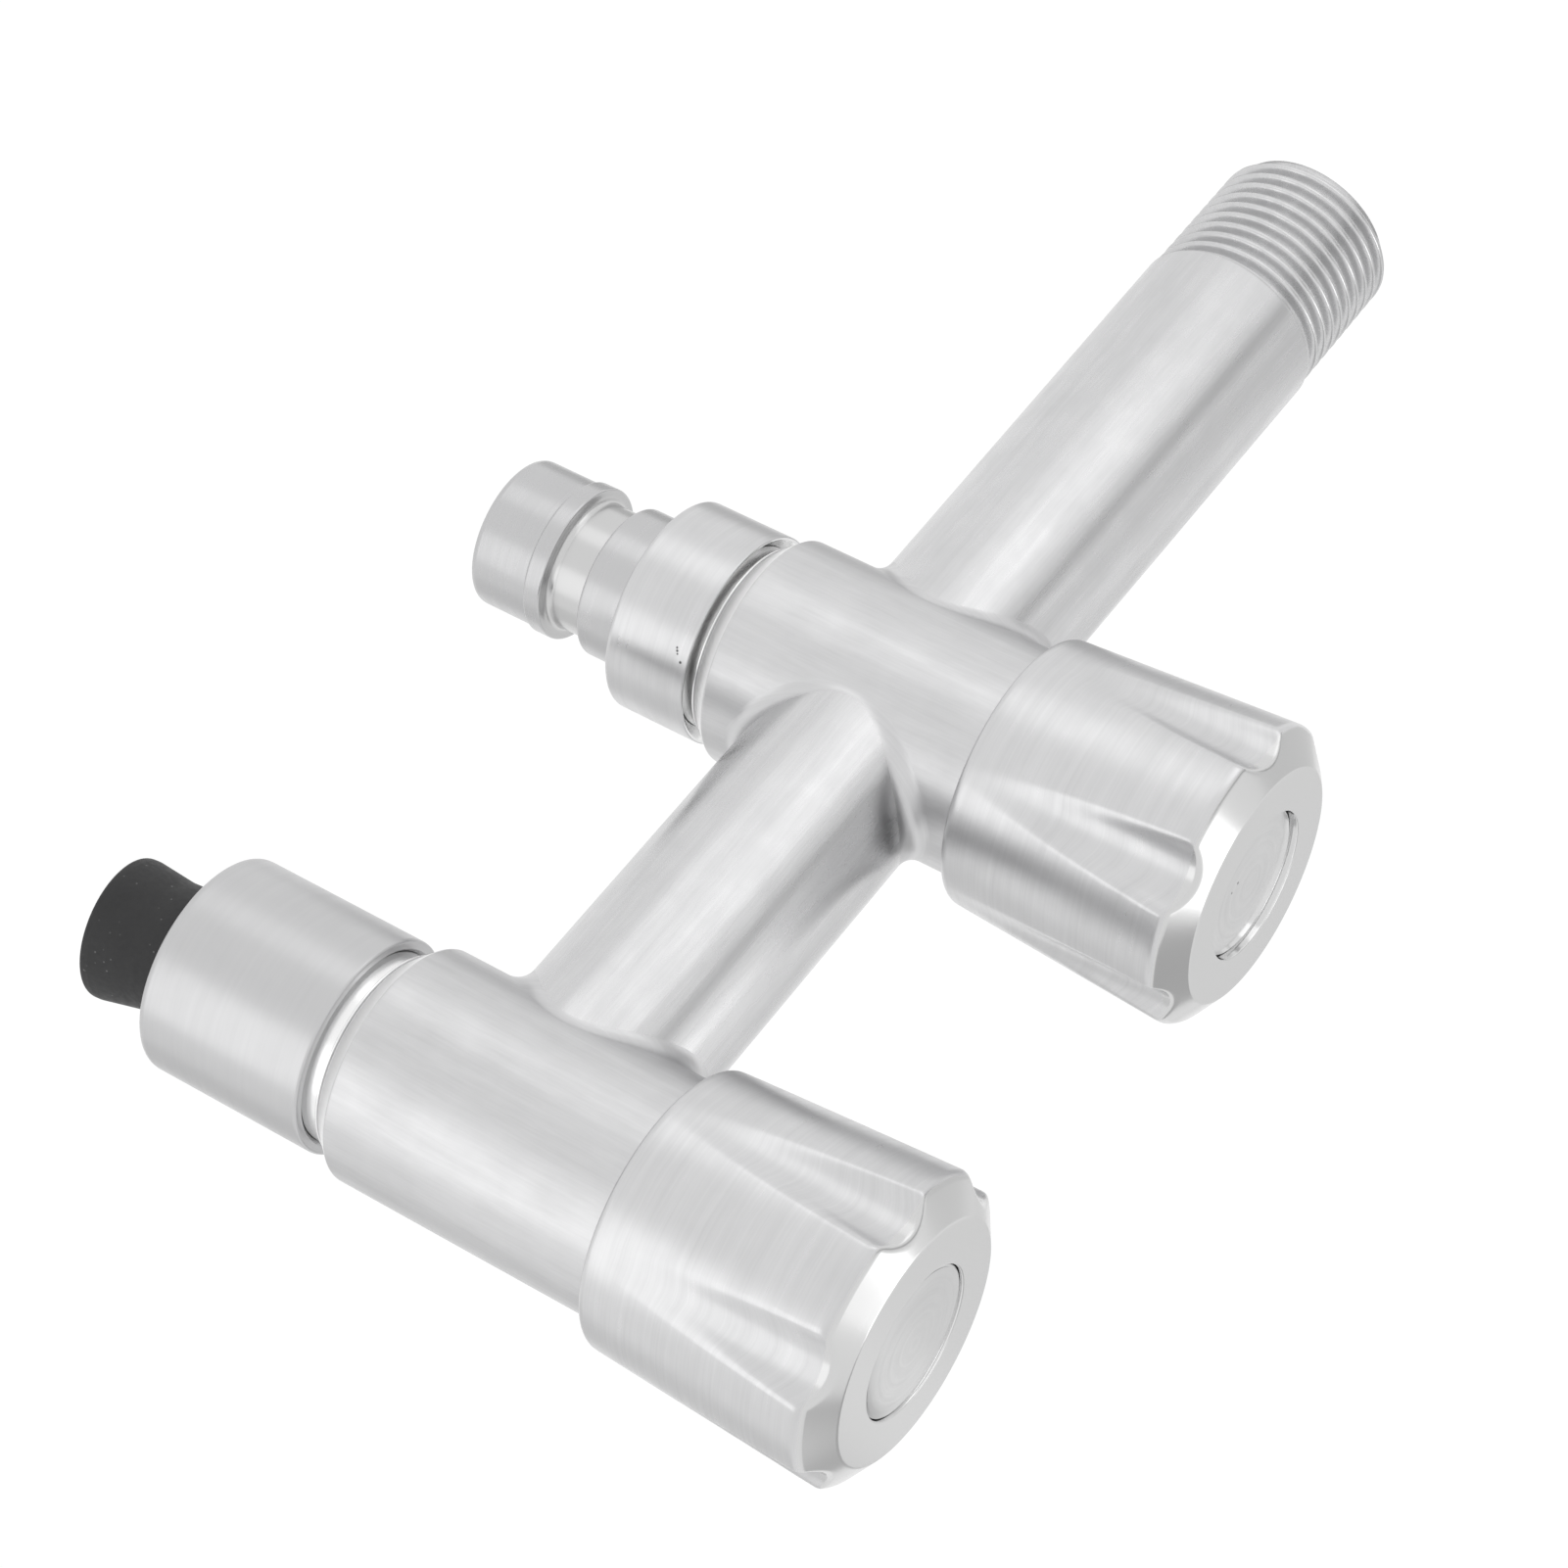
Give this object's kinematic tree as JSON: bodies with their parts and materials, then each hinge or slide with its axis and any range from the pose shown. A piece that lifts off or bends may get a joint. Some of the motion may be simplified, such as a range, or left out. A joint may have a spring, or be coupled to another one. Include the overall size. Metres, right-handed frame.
{
  "type": "washing machine tap",
  "caption": "Stainless steel double wall tap with a hose nipple, a rubber spout nozzle and two fluted handles that turn.",
  "frame": {"origin": "on the inlet axis, where the inlet thread meets its shoulder at the wall", "axes": "+Y runs into the wall along the inlet pipe, +Z is the axis of both valves towards the handles, the outlets point along -Z"},
  "size_m": [0.0328, 0.1639, 0.0952],
  "materials": {
    "brushed_steel": "satin brushed, streaks along each turned piece",
    "bright_steel": "finely turned, brighter satin",
    "brass": "machined",
    "ceramic": "lapped smooth",
    "black_rubber": "matt moulded rubber"
  },
  "bodies": {
    "tap_body": {"inlet_pipe": "brushed_steel", "wall_valve_body": "brushed_steel", "link_pipe": "brushed_steel", "front_valve_body": "brushed_steel", "inlet_weld": "brushed_steel", "link_wall_weld": "brushed_steel", "link_front_weld": "brushed_steel", "wall_cartridge": "brass", "front_cartridge": "brass", "wall_seat_ring": "black_rubber", "front_seat_ring": "black_rubber", "wall_fixed_disc": "ceramic", "front_fixed_disc": "ceramic", "wall_bonnet_washer": "black_rubber", "front_bonnet_washer": "black_rubber", "union_collar": "brushed_steel", "nipple_washer": "black_rubber", "hose_nipple": "bright_steel", "outlet_collar": "brushed_steel", "spout_washer": "black_rubber", "filter_screen": "bright_steel", "rubber_nozzle": "black_rubber"},
    "wall_knob": {"wall_handle": "bright_steel", "wall_index_cap": "brushed_steel", "wall_handle_screw": "brushed_steel", "wall_spindle": "bright_steel", "wall_moving_disc": "ceramic", "wall_spindle_rings": "black_rubber", "wall_circlip": "brushed_steel"},
    "front_knob": {"front_handle": "bright_steel", "front_index_cap": "brushed_steel", "front_handle_screw": "brushed_steel", "front_spindle": "bright_steel", "front_moving_disc": "ceramic", "front_spindle_rings": "black_rubber", "front_circlip": "brushed_steel"}
  },
  "joints": [
    {"name": "wall_handle_turn", "type": "hinge", "parent": "tap_body", "child": "wall_knob", "pos_m": [0, -0.066, 0], "axis": [0, 0, 1], "range_deg": [0, 90]},
    {"name": "front_handle_turn", "type": "hinge", "parent": "tap_body", "child": "front_knob", "pos_m": [0, -0.1295, 0], "axis": [0, 0, 1], "range_deg": [0, 90]}
  ]
}
